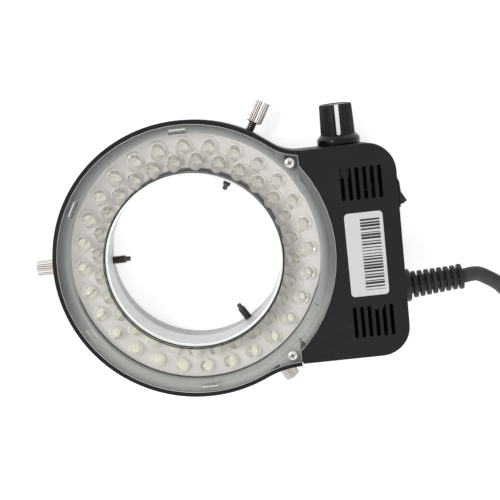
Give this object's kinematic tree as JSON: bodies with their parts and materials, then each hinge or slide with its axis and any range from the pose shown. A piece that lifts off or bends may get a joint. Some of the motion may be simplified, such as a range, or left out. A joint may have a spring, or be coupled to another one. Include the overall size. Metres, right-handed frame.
{
  "type": "microscope ring light",
  "caption": "Ring light with inward-tilted LEDs under a clear cover, a clamping collar with thumb screws, and a control box with dimmer, rocker switch and mains cord.",
  "frame": {"origin": "On the resting plane, below the middle of the light measured without the free cord, its coil, tie and plug.", "axes": "X runs from the ring to the control box and its strain relief, Y points from the box to the dimmer knob, Z points out of the lit face, up from the rear face that the light lies on."},
  "size_m": [0.3003, 0.1247, 0.0293],
  "materials": {
    "black_plastic": "moulded black plastic with a fine grain",
    "gloss_black_plastic": "smooth black plastic of the rocker",
    "knob_plastic": "black plastic, fluted cap",
    "clear_plastic": "clear colourless plastic",
    "label_paper": "pale grey printed film, its text left out",
    "zinc_steel": "bright zinc-plated steel",
    "trim_grey": "satin grey",
    "carrier_white": "warm off-white",
    "led_resin": "clear epoxy over a yellowish phosphor",
    "collar_aluminium": "turned bright aluminium",
    "bare_aluminium": "bare aluminium",
    "dark_steel": "blackened steel",
    "nickel": "nickel-plated, straight knurl",
    "white_inlay": "white inlay",
    "brass": "plain brass",
    "board_green": "green lacquered board",
    "copper_tape": "yellow insulating tape",
    "capacitor_blue": "dark blue sleeve",
    "lead_red": "red insulation",
    "cord_black": "soft black sheath",
    "relief_rubber": "soft black moulding",
    "plug_black": "moulded black plug"
  },
  "bodies": {
    "housing": {"rear_housing": "black_plastic", "box_cover": "black_plastic", "lens_cover": "clear_plastic", "label": "label_paper", "cover_screw_1": "zinc_steel", "cover_screw_2": "zinc_steel", "box_screw_1": "zinc_steel", "box_screw_2": "zinc_steel", "box_screw_3": "zinc_steel", "box_screw_4": "zinc_steel", "outer_trim": "trim_grey", "led_carrier": "carrier_white", "led_row_outer": "led_resin", "led_row_inner": "led_resin", "collar": "collar_aluminium", "collar_screw_1": "zinc_steel", "collar_screw_2": "zinc_steel", "collar_screw_3": "zinc_steel", "dimmer_body": "dark_steel", "dimmer_nut": "nickel", "switch_body": "black_plastic", "switch_terminal_1": "brass", "switch_terminal_2": "brass", "driver_board": "board_green", "transformer": "copper_tape", "capacitor_1": "capacitor_blue", "capacitor_2": "capacitor_blue", "fuse": "clear_plastic", "heat_sink": "bare_aluminium", "regulator": "black_plastic", "led_lead_1": "lead_red", "led_lead_2": "cord_black", "switch_lead": "cord_black", "strain_relief": "relief_rubber", "cord_tail": "cord_black", "cord_clamp": "black_plastic", "clamp_screw_1": "zinc_steel", "clamp_screw_2": "zinc_steel", "mains_cord": "cord_black", "cord_coil": "cord_black", "cord_tie": "black_plastic", "plug_body": "plug_black", "plug_pin_1": "brass", "plug_pin_2": "brass"},
    "thumb_screw_1": {"thumb_screw_shank_1": "dark_steel"},
    "thumb_grip_1": {"thumb_screw_head_1": "nickel"},
    "thumb_screw_2": {"thumb_screw_shank_2": "dark_steel"},
    "thumb_grip_2": {"thumb_screw_head_2": "nickel"},
    "thumb_screw_3": {"thumb_screw_shank_3": "dark_steel"},
    "thumb_grip_3": {"thumb_screw_head_3": "nickel"},
    "dimmer": {"dimmer_shaft": "bare_aluminium", "dimmer_knob": "knob_plastic", "knob_pointer": "white_inlay"},
    "switch_rocker": {"rocker": "gloss_black_plastic"}
  },
  "joints": [
    {"name": "thumb_screw_1_feed", "type": "slide", "parent": "housing", "child": "thumb_screw_1", "axis": [0.5, 0.866, 0], "range_m": [-0.0018, 0.007]},
    {"name": "thumb_screw_1_turn", "type": "hinge", "parent": "thumb_screw_1", "child": "thumb_grip_1", "pos_m": [0.00892, 0.04806, 0.0073], "axis": [0.5, 0.866, 0], "range_deg": [-1296.1, 5040.1]},
    {"name": "thumb_screw_2_feed", "type": "slide", "parent": "housing", "child": "thumb_screw_2", "axis": [-1, 0, 0], "range_m": [-0.0018, 0.007]},
    {"name": "thumb_screw_2_turn", "type": "hinge", "parent": "thumb_screw_2", "child": "thumb_grip_2", "pos_m": [-0.07433, 0, 0.0073], "axis": [-1, 0, 0], "range_deg": [-1296.1, 5040.1]},
    {"name": "thumb_screw_3_feed", "type": "slide", "parent": "housing", "child": "thumb_screw_3", "axis": [0.5, -0.866, 0], "range_m": [-0.0018, 0.007]},
    {"name": "thumb_screw_3_turn", "type": "hinge", "parent": "thumb_screw_3", "child": "thumb_grip_3", "pos_m": [0.00892, -0.04806, 0.0073], "axis": [0.5, -0.866, 0], "range_deg": [-1296.1, 5040.1]},
    {"name": "dimmer_turn", "type": "hinge", "parent": "housing", "child": "dimmer", "pos_m": [0.04054, 0.03334, 0.014], "axis": [0, 1, 0], "range_deg": [-150, 150]},
    {"name": "switch_rock", "type": "hinge", "parent": "housing", "child": "switch_rocker", "pos_m": [0.06068, 0.0161, 0.014], "axis": [0, 0, -1], "range_deg": [0, 34]}
  ],
  "couplings": [
    {"joint": "thumb_screw_1_turn", "follows": "thumb_screw_1_feed", "rad_per_m": 12566},
    {"joint": "thumb_screw_2_turn", "follows": "thumb_screw_2_feed", "rad_per_m": 12566},
    {"joint": "thumb_screw_3_turn", "follows": "thumb_screw_3_feed", "rad_per_m": 12566}
  ]
}
